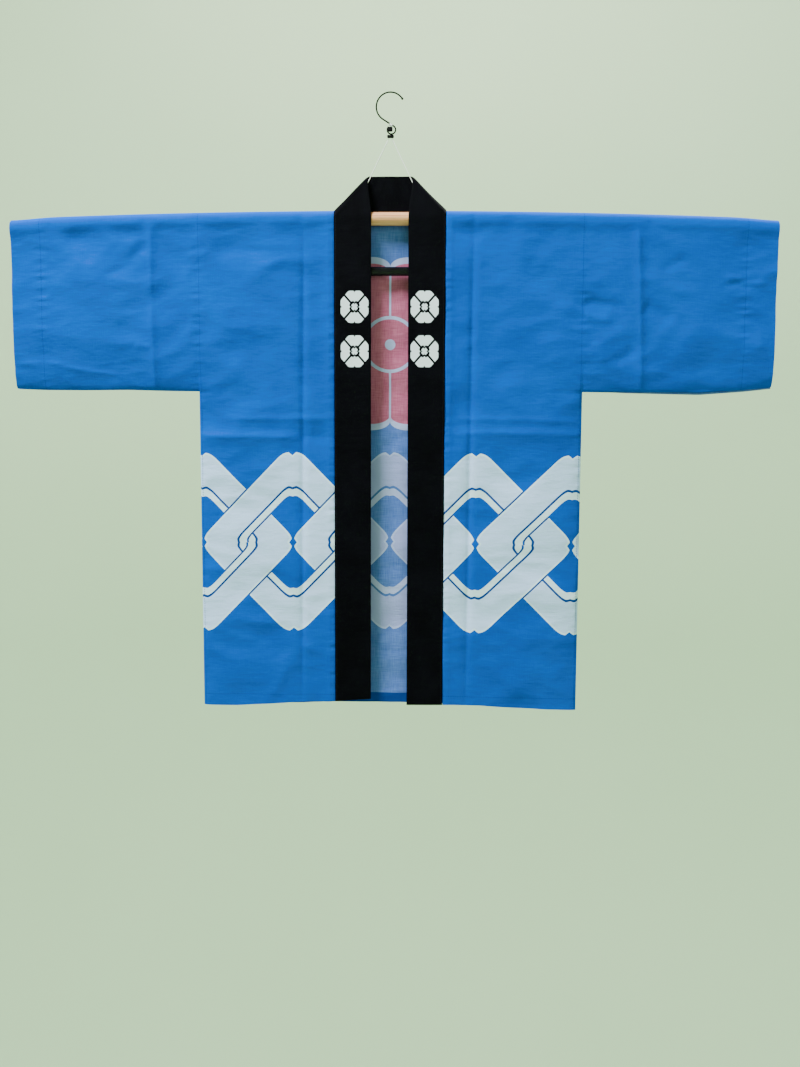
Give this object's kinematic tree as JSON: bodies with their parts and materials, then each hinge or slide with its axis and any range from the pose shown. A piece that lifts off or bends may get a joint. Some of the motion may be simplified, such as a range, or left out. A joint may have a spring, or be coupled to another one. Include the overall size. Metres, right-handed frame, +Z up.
{
  "type": "happi coat on a hanging rod",
  "caption": "Short open-fronted happi coat with square sleeves and a long black collar band, hung flat on a wooden rod from a wire hook.",
  "frame": {"origin": "the inside of the hook's crown, where the hook hangs on what holds it", "axes": "X along the rod from the wearer's right sleeve to the left one as the coat is seen from the front, Y from the front to the back, Z up"},
  "size_m": [1.274, 0.0297, 1.0356],
  "materials": {
    "coat_cloth": "plain-woven cotton, blue with a white chain print",
    "collar_cloth": "black cotton, doubled",
    "rod_wood": "pale bare wood, sanded",
    "bar_gloss": "black gloss",
    "black_cord": "black braided cord",
    "hook_wire": "black coated steel wire",
    "black_fitting": "black, moulded",
    "white_string": "white twisted string"
  },
  "bodies": {
    "root": {"body": "coat_cloth", "sleeve_left": "coat_cloth", "sleeve_right": "coat_cloth", "collar": "collar_cloth", "rod": "rod_wood", "crossbar": "bar_gloss", "bar_cord_left": "black_cord", "bar_cord_right": "black_cord", "hook": "hook_wire", "ferrule": "black_fitting", "knot": "black_fitting", "string_left": "white_string", "string_right": "white_string"}
  },
  "joints": []
}
